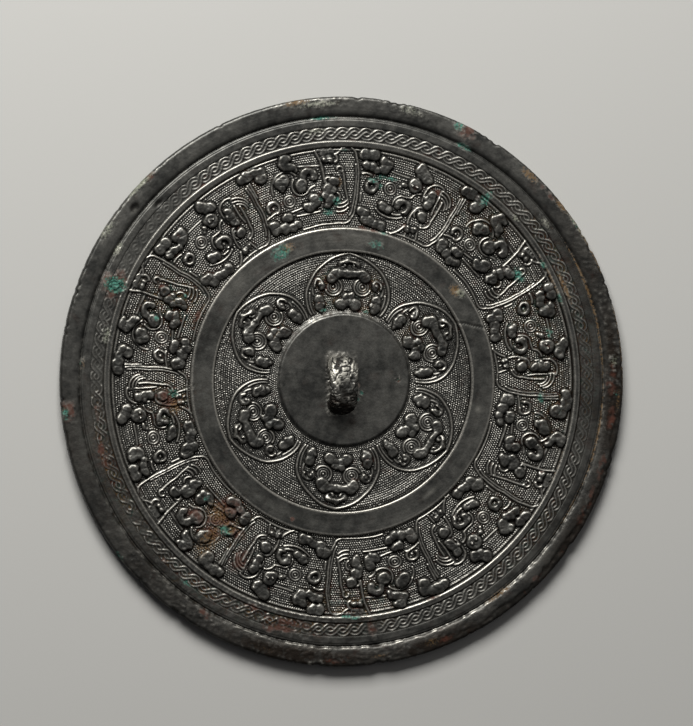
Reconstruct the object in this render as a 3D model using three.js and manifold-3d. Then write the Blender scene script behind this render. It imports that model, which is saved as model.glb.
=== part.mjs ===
// Cast bronze mirror with a cord knob, lying on its polished face. Millimetres, +Z up.
import * as THREE from "three";
import { mergeVertices } from "three/addons/utils/BufferGeometryUtils.js";
import Module from "manifold-3d";

const wasm = await Module();
wasm.setup();

// Radii of the disc and its rings, from the outside in
const rimRadius = 90;
const rimInnerRadius = 84.3;
const braidOuterRadius = 80.4;
const braidInnerRadius = 77;
const panelOuterRadius = 73.9;
const panelInnerRadius = 48.8;
const leafOuterRadius = 40.8;
const leafInnerRadius = 21.9;

// Heights above the underside
const rimLevel = 4;
const ringLevel = 3.4;
const groundLevel = 2.4;
const braidLevel = 2.8;
const edgeRound = 0.7;   // chamfer of the rim's two edges
const stepSlope = 0.25;  // the steps between rings lean by this much

// The knob: a strap that arches along Y, with the cord hole running along X
const knobLength = 20;
const knobWidth = 9;
const knobHeight = 8.4;
const knobRound = 2;     // rounding of the strap's long edges
const knobFoot = 2.8;    // how far the strap's feet reach into the disc
const holeWidth = 7.2;
const holeHeight = 5.4;

// Ornament: the same leaf and pair of panels six times round
const repeats = 6;
const leafTurn = 3.6;        // degrees clockwise from +Y to the first leaf's tip
const panelOneTurn = -10.95; // the same, to the middle of the first panel
const panelTwoTurn = panelOneTurn + 180 / repeats;
const beadHeight = 1.4;
const lineHeight = 0.7;
const beadSlope = 0.55;
const lineSlope = 0.14;
const buried = 0.2;          // how far ornament reaches into the ground before it tapers
const discSegments = 48;

const bronze = new THREE.MeshStandardMaterial({ color: 0x45433e, roughness: 0.5, metalness: 0.8 });

function solid(geometry) {
  geometry.deleteAttribute("normal");
  geometry.deleteAttribute("uv");
  const merged = mergeVertices(geometry, 1e-4);
  return new wasm.Manifold(new wasm.Mesh({
    numProp: 3,
    vertProperties: Float32Array.from(merged.attributes.position.array),
    triVerts: Uint32Array.from(merged.index.array),
  }));
}

function geometryOf(shape) {
  const { vertProperties, triVerts } = shape.getMesh();
  const geometry = new THREE.BufferGeometry();
  geometry.setAttribute("position", new THREE.BufferAttribute(vertProperties, 3));
  geometry.setIndex(new THREE.BufferAttribute(triVerts, 1));
  const flat = geometry.toNonIndexed();
  flat.computeVertexNormals();
  return flat;
}

function disc() {
  const profile = [
    [0, 0],
    [rimRadius - edgeRound, 0],
    [rimRadius, edgeRound],
    [rimRadius, rimLevel - edgeRound],
    [rimRadius - edgeRound, rimLevel],
    [rimInnerRadius, rimLevel],
    [rimInnerRadius - stepSlope, ringLevel],
    [braidOuterRadius, ringLevel],
    [braidOuterRadius - stepSlope, braidLevel],
    [braidInnerRadius, braidLevel],
    [braidInnerRadius - stepSlope, ringLevel],
    [panelOuterRadius + stepSlope, ringLevel],
    [panelOuterRadius, groundLevel],
    [panelInnerRadius, groundLevel],
    [panelInnerRadius - stepSlope, ringLevel],
    [leafOuterRadius + stepSlope, ringLevel],
    [leafOuterRadius, groundLevel],
    [leafInnerRadius, groundLevel],
    [leafInnerRadius - stepSlope, ringLevel],
    [0, ringLevel],
  ].map(([r, z]) => new THREE.Vector2(r, z));
  return new THREE.LatheGeometry(profile, discSegments).rotateX(Math.PI / 2);
}

// An arch's side view: half an ellipse above height 0
function archSide(halfLength, height) {
  const side = new THREE.Shape();
  side.absellipse(0, 0, halfLength, height, 0, Math.PI, false, 0);
  return side;
}

// Turns a side view extruded along Z so that it runs along X and stands on the middle disc
function standOnDisc(geometry, length) {
  return geometry.translate(0, 0, -length / 2).rotateX(Math.PI / 2).rotateZ(Math.PI / 2)
    .translate(0, 0, ringLevel);
}

function knobStrap() {
  const side = archSide(knobLength / 2, knobHeight);
  side.lineTo(-knobLength / 2, -knobFoot);
  side.lineTo(knobLength / 2, -knobFoot);
  const strap = new THREE.ExtrudeGeometry(side, {
    depth: knobWidth - 2 * knobRound,
    bevelThickness: knobRound,
    bevelSize: knobRound,
    bevelOffset: -knobRound,
    bevelSegments: 2,
    curveSegments: 12,
  });
  return standOnDisc(strap, knobWidth - 2 * knobRound);
}

function cordHole() {
  const length = knobWidth + 2;
  const hole = new THREE.ExtrudeGeometry(archSide(holeWidth / 2, holeHeight), {
    depth: length,
    bevelEnabled: false,
    curveSegments: 8,
  });
  return standOnDisc(hole, length);
}

function knob() {
  return solid(knobStrap()).subtract(solid(cordHole()));
}

// Ornament pieces stand on the ground of their field. x runs clockwise, y outwards.
function raise(outline, height, slope) {
  const geometry = new THREE.ExtrudeGeometry(new THREE.Shape(outline), {
    depth: buried,
    bevelThickness: height,
    bevelSize: slope,
    bevelOffset: -slope,
    bevelSegments: 1,
  });
  return geometry.translate(0, 0, groundLevel - buried);
}

// The outline of a line of varying half-width, its ends pointed when tip is 1 and cut off when it is 0
function outlineOf(line, widths, tip = 1) {
  const left = [];
  const right = [];
  line.forEach((point, i) => {
    const along = line[Math.min(i + 1, line.length - 1)].clone().sub(line[Math.max(i - 1, 0)]).normalize();
    const across = new THREE.Vector2(-along.y, along.x).multiplyScalar(widths[i]);
    if (i === 0 && tip) left.push(point.clone().addScaledVector(along, -widths[i] * tip));
    left.push(point.clone().add(across));
    right.unshift(point.clone().sub(across));
    if (i === line.length - 1 && tip) left.push(point.clone().addScaledVector(along, widths[i] * tip));
  });
  return left.concat(right);
}

// A curl: an arc about (x, y) between two angles, with a half-width at each end
function curl(x, y, bend, from, to, startWidth, endWidth, steps) {
  const line = [];
  const widths = [];
  for (let i = 0; i <= steps; i += 1) {
    const angle = THREE.MathUtils.degToRad(from + (to - from) * i / steps);
    line.push(new THREE.Vector2(x + bend * Math.cos(angle), y + bend * Math.sin(angle)));
    widths.push(startWidth + (endWidth - startWidth) * i / steps);
  }
  return outlineOf(line, widths);
}

// A stroke through a few points, each [x, y, half-width], and the same with its ends cut off
function stroke(...points) {
  return outlineOf(points.map(([x, y]) => new THREE.Vector2(x, y)), points.map((point) => point[2]));
}

function thread(...points) {
  return outlineOf(points.map(([x, y]) => new THREE.Vector2(x, y)), points.map((point) => point[2]), 0);
}

function bead(x, y, radius, sides = 6) {
  return Array.from({ length: sides }, (_, i) => {
    const angle = 2 * Math.PI * i / sides;
    return new THREE.Vector2(x + radius * Math.cos(angle), y + radius * Math.sin(angle));
  });
}

const bold = (outline) => raise(outline, beadHeight, beadSlope);
const fine = (outline) => raise(outline, lineHeight, lineSlope);

// The long line between two panels, hooked inwards along the plain ring at its foot
function divider() {
  const side = new THREE.SplineCurve([
    new THREE.Vector2(17.3, 66.6),
    new THREE.Vector2(16.2, 61),
    new THREE.Vector2(14.1, 53.4),
    new THREE.Vector2(12.4, 50),
    new THREE.Vector2(9.4, 49.1),
  ]).getPoints(5);
  return fine(outlineOf(side, side.map(() => 0.4), 0));
}

// First panel: a dragon seen from above, made of commas, curls and one clawed leg
function panelOne() {
  return [
    divider(),
    bold(stroke([-20.3, 69.2, 1.7], [-14.6, 70, 1.7], [-13.3, 67.9, 1.4])),
    bold(stroke([-5.6, 72.2, 1.5], [-5.6, 70.4, 1.5], [-2.3, 68.4, 0.8])),
    bold(stroke([-6.7, 66.2, 1.5], [-8.1, 64.6, 1.2])),
    bold(stroke([-1.7, 63.2, 1.9], [0.2, 66.6, 1.1], [2.9, 66.2, 0.9])),
    bold(stroke([6.6, 69.4, 1], [10.2, 69.1, 1.2])),
    bold(stroke([6.2, 68, 0.7], [6.3, 64.6, 0.7], [7.2, 63, 0.9], [8.6, 63.3, 1.3])),
    fine(thread([12, 66.8, 0.5], [10.7, 60, 0.4])),
    bold(stroke([6.5, 60.5, 1.3], [5, 58.8, 1.1], [5.7, 57, 1.3])),
    fine(curl(10.2, 57.4, 1.8, 170, 350, 0.5, 0.6, 3)),
    bold(stroke([1.3, 58.8, 1.2], [1, 56.6, 1.4], [-0.9, 56.7, 1.1])),
    bold(curl(-11.5, 58, 1.8, 205, -60, 0.95, 0.6, 4)),
    bold(stroke([-12, 52.4, 1.7], [-11, 51, 1.7], [-7, 50.4, 1.1])),
    bold(stroke([-8.6, 54.3, 1], [-6.4, 53.7, 0.9], [-4.9, 50.5, 1])),
  ];
}

// Second panel: the dragon's body, a large spiral with its wing and foot
function panelTwo() {
  return [
    divider(),
    bold(stroke([-17.3, 69.7, 1.5], [-11.2, 70.4, 1.7], [-9.3, 68, 1.7])),
    bold(stroke([-15.8, 66.8, 0.7], [-14.3, 66, 1], [-12.8, 66.7, 0.7])),
    bold(curl(-12.3, 62.3, 2, 115, -100, 0.8, 1, 3)),
    bold(stroke([0.7, 72.3, 1.2], [1.4, 71, 1.2], [4.5, 69.2, 0.9])),
    bold(stroke([-1.9, 65.2, 0.5], [0.1, 66.5, 1.7], [2.5, 66.6, 1.5])),
    bold(curl(-0.5, 57.8, 2, 115, -75, 1.4, 0.7, 4)),
    bold(stroke([-6.9, 57.2, 1.1], [-6.2, 56, 1.1], [-4, 55.9, 0.9])),
    bold(stroke([6.4, 66.4, 1.4], [5.5, 63.6, 1.2], [6.9, 61.7, 1.2])),
    fine(thread([6.3, 68.2, 0.3], [10.9, 68, 0.5], [13.8, 64.3, 0.5])),
    fine(thread([9.7, 65.4, 0.4], [9.8, 58.4, 0.4], [8.4, 55, 0.4])),
    bold(stroke([3.4, 57.6, 0.6], [4.4, 59.3, 0.9], [5.9, 58.4, 1.1])),
    bold(stroke([2, 51.6, 0.7], [3.2, 52.8, 0.9], [5.8, 52.6, 0.9])),
    bold(stroke([-12, 52.4, 1.7], [-11, 51, 1.7], [-4.2, 50.8, 1.2])),
  ];
}

// One side of a leaf: its edge, eye and curls. side is 1 on the clockwise side and -1 on the other.
function leafSide(side) {
  const edge = new THREE.CubicBezierCurve(
    new THREE.Vector2(0, 40.1),
    new THREE.Vector2(side * 9.5, 37.2),
    new THREE.Vector2(side * 17, 30),
    new THREE.Vector2(side * 11.2, 21.4),
  ).getPoints(5);
  const beside = (...points) => stroke(...points.map(([x, y, width]) => [side * x, y, width]));
  return [
    fine(outlineOf(edge, edge.map(() => 0.45), 0)),
    bold(beside([0.6, 37.9, 0.7], [2.2, 36.6, 0.9])),
    bold(beside([0.7, 34.3, 0.9], [4.4, 34.1, 1.1], [5.9, 33, 1.3], [5.6, 31.8, 1.4])),
    bold(bead(side * 4.9, 29.3, 1.8)),
    bold(beside([8.4, 29.6, 1.1], [9.2, 31, 0.9], [10.8, 30.2, 0.8], [11, 28.2, 0.7])),
    bold(beside([9.3, 25.2, 1.7], [8.7, 22.9, 1.1])),
    bold(bead(side * 1.9, 25.1, 2)),
  ];
}

function ornament() {
  const parts = [];
  const place = (geometries, degrees) => geometries.forEach((geometry) => {
    parts.push(solid(geometry.rotateZ(-THREE.MathUtils.degToRad(degrees))));
  });
  for (let i = 0; i < repeats; i += 1) {
    const turn = 360 * i / repeats;
    place(leafSide(1).concat(leafSide(-1)), leafTurn + turn);
    place(panelOne(), panelOneTurn + turn);
    place(panelTwo(), panelTwoTurn + turn);
  }
  return parts;
}

const mirror = new THREE.Mesh(
  geometryOf(wasm.Manifold.union([solid(disc()), knob(), ...ornament()])),
  bronze,
);
mirror.name = "mirror";

const group = new THREE.Group();
group.add(mirror);
export default group;
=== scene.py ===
import bpy
import math
import numpy as np
from mathutils import Matrix, Vector


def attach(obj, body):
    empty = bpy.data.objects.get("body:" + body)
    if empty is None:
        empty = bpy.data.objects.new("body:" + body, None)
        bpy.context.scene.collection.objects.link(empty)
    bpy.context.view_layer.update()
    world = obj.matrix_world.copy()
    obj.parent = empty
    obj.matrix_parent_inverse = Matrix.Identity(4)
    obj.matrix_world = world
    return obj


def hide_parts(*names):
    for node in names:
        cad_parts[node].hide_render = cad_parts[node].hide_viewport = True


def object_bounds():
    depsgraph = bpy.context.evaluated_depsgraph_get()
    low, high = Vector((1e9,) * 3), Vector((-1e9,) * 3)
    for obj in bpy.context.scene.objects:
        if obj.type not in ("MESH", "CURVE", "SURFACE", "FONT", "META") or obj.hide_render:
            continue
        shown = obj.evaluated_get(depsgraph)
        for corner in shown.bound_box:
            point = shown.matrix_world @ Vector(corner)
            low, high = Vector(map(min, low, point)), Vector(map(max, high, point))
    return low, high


# Bronze mirror lying on its polished face, ornamented back up.
# Relief is worked out in millimetres; meshes are written in metres.

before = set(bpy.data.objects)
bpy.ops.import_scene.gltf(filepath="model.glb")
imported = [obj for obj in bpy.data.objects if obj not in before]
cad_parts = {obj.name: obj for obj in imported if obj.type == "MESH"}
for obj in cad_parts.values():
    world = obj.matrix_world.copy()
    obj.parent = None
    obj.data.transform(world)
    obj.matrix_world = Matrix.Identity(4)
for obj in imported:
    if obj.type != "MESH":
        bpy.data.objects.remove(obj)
cadLow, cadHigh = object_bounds()
print("frame loaded")

mm = 0.001
rimRadius = (cadHigh.x - cadLow.x) / 2 / mm     # 90
knobTop = (cadHigh.z - cadLow.z) / mm           # 11.8
turnPerRepeat = 60                              # six leaves, six pairs of panels

# heights over the polished face
levels = {"ring": 3.4, "ground": 2.4, "braid": 2.95, "plate": 1.45, "core": 1.4}


def deselectAll():
    if bpy.context.object and bpy.context.object.mode != "OBJECT":
        bpy.ops.object.mode_set(mode="OBJECT")
    bpy.ops.object.select_all(action="DESELECT")


# Strokes of the ornament. A stroke knows its nearest point on a centreline, its half-width at both ends
# and its height.

def lineStroke(x0, y0, x1, y1, w0, w1, height):
    dx, dy = x1 - x0, y1 - y0
    lengthSquared = max(dx * dx + dy * dy, 1e-9)

    def nearest(x, y):
        t = np.clip(((x - x0) * dx + (y - y0) * dy) / lengthSquared, 0, 1)
        return np.hypot(x - x0 - t * dx, y - y0 - t * dy), t

    reach = math.hypot(dx, dy) / 2 + max(w0, w1)
    return {"nearest": nearest, "widths": (w0, w1), "height": height,
            "middle": ((x0 + x1) / 2, (y0 + y1) / 2), "reach": reach}


def arcStroke(cx, cy, bend, start, end, w0, w1, height):
    sweep = end - start
    way = 1 if sweep > 0 else -1

    def nearest(x, y):
        angle = np.degrees(np.arctan2(y - cy, x - cx))
        t = ((angle - start) * way % 360) / abs(sweep)
        halfGap = (360 / abs(sweep) + 1) / 2
        t = np.where(t > 1, np.where(t > halfGap, 0, 1), t)
        on = np.radians(start + sweep * t)
        return np.hypot(x - cx - bend * np.cos(on), y - cy - bend * np.sin(on)), t

    return {"nearest": nearest, "widths": (w0, w1), "height": height,
            "middle": (cx, cy), "reach": bend + max(w0, w1)}


boldHeight = 1.25
fineHeight = 0.42


def bead(x, y, radius, height=boldHeight):
    return lineStroke(x, y, x, y, radius, radius, height)


def bar(x0, y0, x1, y1, w0, w1, height=boldHeight):
    return lineStroke(x0, y0, x1, y1, w0, w1, height)


def curl(cx, cy, bend, start, end, w0, w1, height=boldHeight):
    return arcStroke(cx, cy, bend, start, end, w0, w1, height)


def thread(x0, y0, x1, y1, width=0.3, height=fineHeight):
    return lineStroke(x0, y0, x1, y1, width, width, height)


def loop(cx, cy, bend, start, end, width=0.3, height=fineHeight):
    return arcStroke(cx, cy, bend, start, end, width, width, height)


def bow(x0, y0, x1, y1, sag, w0=0.3, w1=None, height=fineHeight):
    # an arc from one point to another that bulges to the left of its way by sag
    w1 = w0 if w1 is None else w1
    half = math.hypot(x1 - x0, y1 - y0) / 2
    bend = (half * half + sag * sag) / (2 * abs(sag))
    side = 1 if sag > 0 else -1
    ux, uy = (x1 - x0) / (2 * half), (y1 - y0) / (2 * half)
    off = side * (abs(sag) - bend)
    cx = (x0 + x1) / 2 - uy * off
    cy = (y0 + y1) / 2 + ux * off
    start = math.degrees(math.atan2(y0 - cy, x0 - cx))
    end = math.degrees(math.atan2(y1 - cy, x1 - cx))
    while side > 0 and end > start:
        end -= 360
    while side < 0 and end < start:
        end += 360
    return arcStroke(cx, cy, bend, start, end, w0, w1, height)


def rosette(x, y):
    # two small raised rings round a grain
    return [loop(x, y, 1.75, 0, 360, 0.26, 0.45), loop(x, y, 0.95, 0, 360, 0.24, 0.45),
            bead(x, y, 0.35, 0.5)]


def divider(short):
    # the double line between two panels, hooked inwards along the plain ring
    long = [bow(17.7, 66.8, 16.3, 60, 0.2, 0.36, 0.36, 0.75),
            bow(16.3, 60, 14.2, 53, 0.3, 0.36, 0.36, 0.75),
            bow(14.2, 53, 12.6, 50.2, 0.25, 0.36, 0.36, 0.75),
            bow(12.6, 50.2, 9.4, 48.9, 0.7, 0.36, 0.3, 0.7),
            bow(16.9, 66.4, 15.5, 60, 0.2, 0.27, 0.27, 0.6),
            bow(15.5, 60, 13.5, 53.4, 0.3, 0.27, 0.27, 0.6),
            bow(13.5, 53.4, 12, 51, 0.2, 0.27, 0.24, 0.55)]
    return long + ([bar(18.6, 66.8, 17.5, 61.6, 0.33, 0.25, 0.65)] if short else [])


# First panel: a dragon seen from above

def cloudBesideDivider():
    return [bead(-19.5, 68.8, 1.6), bead(-17.6, 69.7, 2.0), bead(-15.3, 70.2, 1.5),
            bead(-13.2, 69.8, 1.7), bead(-13.5, 67.9, 1.95)]


def tongueScroll():
    return [bead(-5.5, 72.1, 1.75), bead(-6.4, 70.6, 1.5), bar(-5.4, 69.9, -3, 69.2, 1.4, 1.2),
            bead(-2.4, 68.2, 0.9, 1.2), bead(-3.7, 72.3, 0.95, 1.2)]


def shoulderComma():
    return [bead(-6.6, 65.8, 1.95), bead(-8.2, 65.2, 1.55), bead(-7.7, 63.9, 1.5),
            loop(-6.2, 63.9, 4.3, 160, 35, 0.34, 0.7), bow(-10.3, 65.4, -10.8, 61.8, -0.4)]


def neckArch():
    return [bead(-1.3, 63.2, 2.1, 1.5), curl(1.3, 65.5, 1.75, 175, -25, 1.15, 1.15),
            loop(-1.3, 63.3, 3.0, 140, 305, 0.32, 0.7), bow(0.6, 60.9, 3, 62.2, 0.3),
            thread(-1.3, 68.9, 5.8, 68.1, 0.32)]


def mask():
    return [bar(5.1, 73.4, 5.9, 70, 0.4, 0.45, 0.85), bead(7.6, 69.9, 1.05, 1.3),
            bead(9.3, 69.7, 0.95, 1.3), bead(6.9, 69, 0.6, 1.0),
            curl(10.2, 69.8, 1.25, -80, 50, 0.5, 0.5, 1.0),
            bow(11.2, 70.8, 14, 72.5, -0.3, 0.36, 0.3, 0.7), bar(7.3, 71.8, 10.6, 71.6, 1.1, 0.9, 0.4),
            loop(7.8, 72.1, 0.75, -20, 200, 0.24, 0.6), loop(10, 71.9, 0.75, -20, 200, 0.24, 0.6),
            thread(5.3, 73.5, 12.8, 72.8, 0.26)]


def chinBlob():
    return [bar(6, 70, 6.1, 62.8, 0.42, 0.42, 0.85), bead(9, 62.9, 1.75),
            curl(7.4, 63.3, 0.95, 60, 260, 0.42, 0.4, 0.9)]


def clawedLeg():
    return [loop(11.4, 66.2, 0.95, 175, -60, 0.36, 0.8),
            bow(12.2, 65.6, 12.1, 59.6, 0.15, 0.38, 0.36, 0.7),
            bow(12.1, 59.6, 12.4, 54.6, 0.1, 0.36, 0.34, 0.7),
            bow(12.3, 56, 9.2, 55.3, 0.45, 0.34, 0.3, 0.75),
            bow(12.3, 54.8, 8.8, 54.2, 0.5, 0.34, 0.3, 0.75),
            bow(12.1, 53.5, 8.4, 53, 0.5, 0.32, 0.28, 0.7)]


def thighKidney():
    return [bead(6.8, 60.5, 1.65), bead(8, 60, 1.2), bead(5.6, 59, 1.2), bead(6.9, 57.1, 1.75),
            bead(5.9, 55.8, 1.15), curl(8.6, 57.6, 1.5, 60, -70, 0.35, 0.35, 0.8)]


def boomerang():
    return [bead(2, 58.7, 1.6), bead(2.3, 57, 1.5), bead(0.6, 56.2, 1.55), bead(-0.6, 56.9, 1.2),
            thread(-5.6, 55.7, -2, 56.5, 0.34, 0.7), thread(-4.2, 54.2, 3.4, 54.2, 0.34, 0.75)]


def tailCurl():
    return [curl(-11.3, 57.9, 1.75, 215, -70, 0.7, 0.5, 1.2),
            bow(-13.8, 54.6, -9.6, 56.4, 0.3, 0.3, 0.34, 0.65), bead(-11.4, 57.6, 0.4, 0.6)]


def footCluster():
    return [bead(-7.9, 54.3, 1.45), bead(-6.6, 54.4, 1.4), bead(-12, 52.3, 1.75),
            bead(-11.7, 50.9, 1.6), bead(-8.9, 51.2, 1.65), bead(-6.6, 50.6, 1.45),
            bead(-4.7, 51.6, 1.4), bow(-3.3, 49.4, 9.4, 48.9, 0.6, 0.3, 0.3, 0.6)]


def panelOne():
    corner = [loop(15.2, 69.5, 2.65, 112, 0, 0.36, 0.75), thread(17.85, 69.5, 17.7, 66.8, 0.36, 0.75)]
    return (divider(False) + corner + cloudBesideDivider() + tongueScroll() + shoulderComma() + neckArch()
            + mask() + chinBlob() + clawedLeg() + thighKidney() + boomerang() + tailCurl()
            + rosette(-5.8, 59.1) + footCluster())


# Second panel: the dragon's body and wing

def cloudAtCorner():
    return [bead(-16.4, 70.1, 1.9), bead(-13.9, 70.4, 1.85), bead(-15.2, 66.8, 1.35),
            bead(-13.3, 66.9, 1.4), bead(-11.5, 66.4, 1.2), bead(-10.3, 69.8, 1.45),
            bead(-8.5, 69.3, 1.75), bead(-9.2, 67.7, 1.9), thread(-6.6, 67.6, -0.6, 67.9, 0.32)]


def browCurl():
    return [curl(-11.5, 61.2, 1.5, 150, -190, 0.85, 0.7, 1.2), bead(-11.4, 61.2, 0.5, 0.9),
            bow(-15.6, 63.9, -12.6, 64.2, 0.3, 0.38, 0.36, 0.8)]


def crestScroll():
    return [bead(1.9, 71.6, 1.9), bead(3.2, 70.4, 1.7), bead(4.6, 69.4, 1.7), bead(2.2, 69.4, 0.9, 1.2)]


def face():
    # a round cheek with two pearls on it
    return [bead(1.7, 66, 2.4), bead(0.9, 65.8, 0.72, 1.95), bead(2.6, 65.9, 0.72, 1.95),
            bead(-1.7, 65, 0.9, 1.0), bead(-2.6, 64, 0.6, 0.9),
            bow(4.5, 63.8, 2, 61.6, -0.6, 0.34, 0.34, 0.75),
            bow(2, 61.6, -1.4, 61.3, 0.15, 0.34, 0.34, 0.75),
            loop(-0.4, 58.7, 2.75, 112, 195, 0.34, 0.75)]


def bodySpiral():
    return [curl(0.2, 57.9, 1.85, 190, -75, 1.05, 0.8), bead(-1.4, 59.2, 1.2),
            bow(0.8, 55.9, -2.4, 55.2, 0.3, 0.5, 0.34, 0.9),
            bow(1, 54.9, -7.9, 55.3, 1.3, 0.38, 0.3, 0.75), bead(0, 57.6, 0.5, 0.6)]


def bean():
    return [bead(-6.8, 57.3, 1.0), bead(-5.7, 56.4, 1.45), bead(-4.1, 56, 1.3)]


def wing():
    return [bead(7.7, 64.7, 1.5), bead(7.8, 62.8, 1.55), bead(7.5, 61, 1.5), bead(6.3, 63.2, 0.95),
            bow(6, 66.1, 5.6, 61.6, -0.3, 0.34, 0.3, 0.75),
            bow(5.9, 66.2, 11.2, 67.4, 1.3, 0.38, 0.36, 0.75),
            bow(10.9, 66.8, 14.5, 62.6, 1.2, 0.34, 0.3, 0.7),
            bow(11, 65.7, 13.8, 61.8, 1.0, 0.3, 0.28, 0.7),
            bow(11.3, 64.6, 13, 61.2, 0.8, 0.28, 0.26, 0.65), thread(10.6, 67.3, 10.5, 64.6, 0.3)]


def legLoop():
    return [bow(10.5, 64.6, 9.8, 58.6, -0.2, 0.34, 0.3, 0.7),
            bow(11.8, 63.4, 10.1, 56.5, 0.25, 0.38, 0.38, 0.75),
            bow(10.1, 56.5, 7.4, 53.7, 0.8, 0.38, 0.34, 0.75), thread(8.6, 55, 7.3, 54.4, 0.3)]


def kneeArch():
    return [bead(6.7, 57.2, 1.75), bow(3.2, 53.6, 4.5, 58.7, 0.4, 0.34, 0.38, 0.75),
            bow(4.5, 58.7, 7, 59.3, 0.5, 0.45, 0.5, 0.9), curl(5.6, 57.3, 1.3, 90, 230, 0.4, 0.35, 0.8)]


def foot():
    return [bow(-0.8, 49.3, 2.4, 52.4, -0.3, 0.36, 0.45, 0.8), bead(3.6, 52, 1.1),
            bead(5.7, 52.2, 0.95), bar(3.6, 52.2, 5.7, 52.3, 0.6, 0.6, 1.0),
            thread(6.8, 52.6, 7.2, 49.9, 0.34, 0.75), loop(4.4, 50.4, 0.8, 0, 200, 0.26),
            bow(-2, 49.4, 9.4, 48.9, 0.5, 0.28, 0.3, 0.55)]


def baseCluster():
    return [bead(-12, 52.9, 1.7), bead(-10.6, 52.8, 1.65), bead(-10.3, 50.8, 1.6), bead(-8, 51.2, 1.5),
            bead(-6.3, 50.6, 1.4), bead(-4.3, 50.9, 1.65), thread(-13.9, 58, -13.3, 55.6, 0.32)]


def panelTwo():
    return (divider(True) + cloudAtCorner() + browCurl() + crestScroll() + face() + bodySpiral() + bean()
            + wing() + legLoop() + kneeArch() + foot() + baseCluster() + rosette(-5.5, 62.3))


# The pointed leaves round the middle disc

def mirrored(strokes):
    # the same strokes on the other side of the leaf's middle line
    flipped = []
    for stroke in strokes:
        nearest = stroke["nearest"]
        flipped.append(dict(stroke, nearest=lambda x, y, near=nearest: near(-x, y),
                            middle=(-stroke["middle"][0], stroke["middle"][1])))
    return flipped


def leafEdge():
    return [bow(0, 40.3, 9, 35.9, 0.75, 0.42, 0.42, 0.75),
            bow(9, 35.9, 13.2, 28.2, 0.85, 0.42, 0.42, 0.75),
            bow(13.2, 28.2, 10.9, 20.9, 0.7, 0.42, 0.38, 0.75), bow(12.1, 27.3, 10.1, 21.2, 0.55, 0.26)]


def leafTip():
    return [bar(0, 38.2, 2.5, 37, 0.72, 0.72, 1.2), curl(2.1, 36.4, 0.8, 50, -190, 0.68, 0.4, 1.1)]


def brow():
    # one broad lobed mass across both sides
    return [bar(0, 33.9, 3.4, 34.0, 1.15, 1.2), bead(4.3, 33.7, 1.75), bead(5.3, 32.6, 1.75),
            bead(0.6, 34.6, 0.7, 1.2)]


def eye():
    # a grain in rings, the widest left open under the brow
    return [loop(4.7, 29.7, 2.65, 110, 335, 0.34, 0.75), loop(4.7, 29.7, 1.8, 0, 360, 0.24, 0.5),
            loop(4.7, 29.7, 1.05, 0, 360, 0.22, 0.5), bead(4.7, 29.7, 0.4, 0.5)]


def sideCurl():
    return [curl(9.6, 30.1, 1.4, 220, -30, 0.8, 0.42, 1.25), bead(9.1, 30.1, 0.9, 1.2),
            bow(11.3, 29.3, 10.9, 26.9, 0.2, 0.3)]


def cornerBlob():
    return [bead(9.4, 25.6, 1.6), bead(9.0, 23.6, 1.5), bead(7.9, 24, 0.85), bead(8.3, 22.3, 0.9, 1.1)]


def leafCloud():
    return [bead(2.6, 24.4, 1.9), bead(1.05, 27, 1.3), bead(0.9, 25.2, 1.2, 1.2)]


def leaf():
    side = leafEdge() + leafTip() + brow() + eye() + sideCurl() + cornerBlob() + leafCloud()
    return side + mirrored(side)


# Relief: heights over the ground, from the strokes

boss = {"bevel": 0.72, "drop": 0.4, "wall": 6, "fuse": 0.6, "crease": 0.16, "creaseWidth": 0.12,
        "swollen": 0.12, "tallest": 1.4, "pearlFrom": 1.5, "cheekFrom": 1.8}
ridgeLine = {"widest": 0.42, "fade": 0.3, "spread": 0.15, "tall": 0.78}


def smoothLower(a, b, blend):
    # the lower of two, rounded where they meet
    near = np.clip(blend - np.abs(a - b), 0, None) / blend
    return np.minimum(a, b) - near * near * blend / 4


def bossProfile(tall, inward):
    # a flat top, a bevelled shoulder and a steep side, by how far inside the outline a place lies
    shoulder = tall - boss["drop"] + boss["bevel"] * inward
    top = smoothLower(tall + 0.03 * np.minimum(inward, 2), shoulder, 0.16)
    return np.clip(smoothLower(top, boss["wall"] * inward, 0.3), 0, None)


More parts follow.
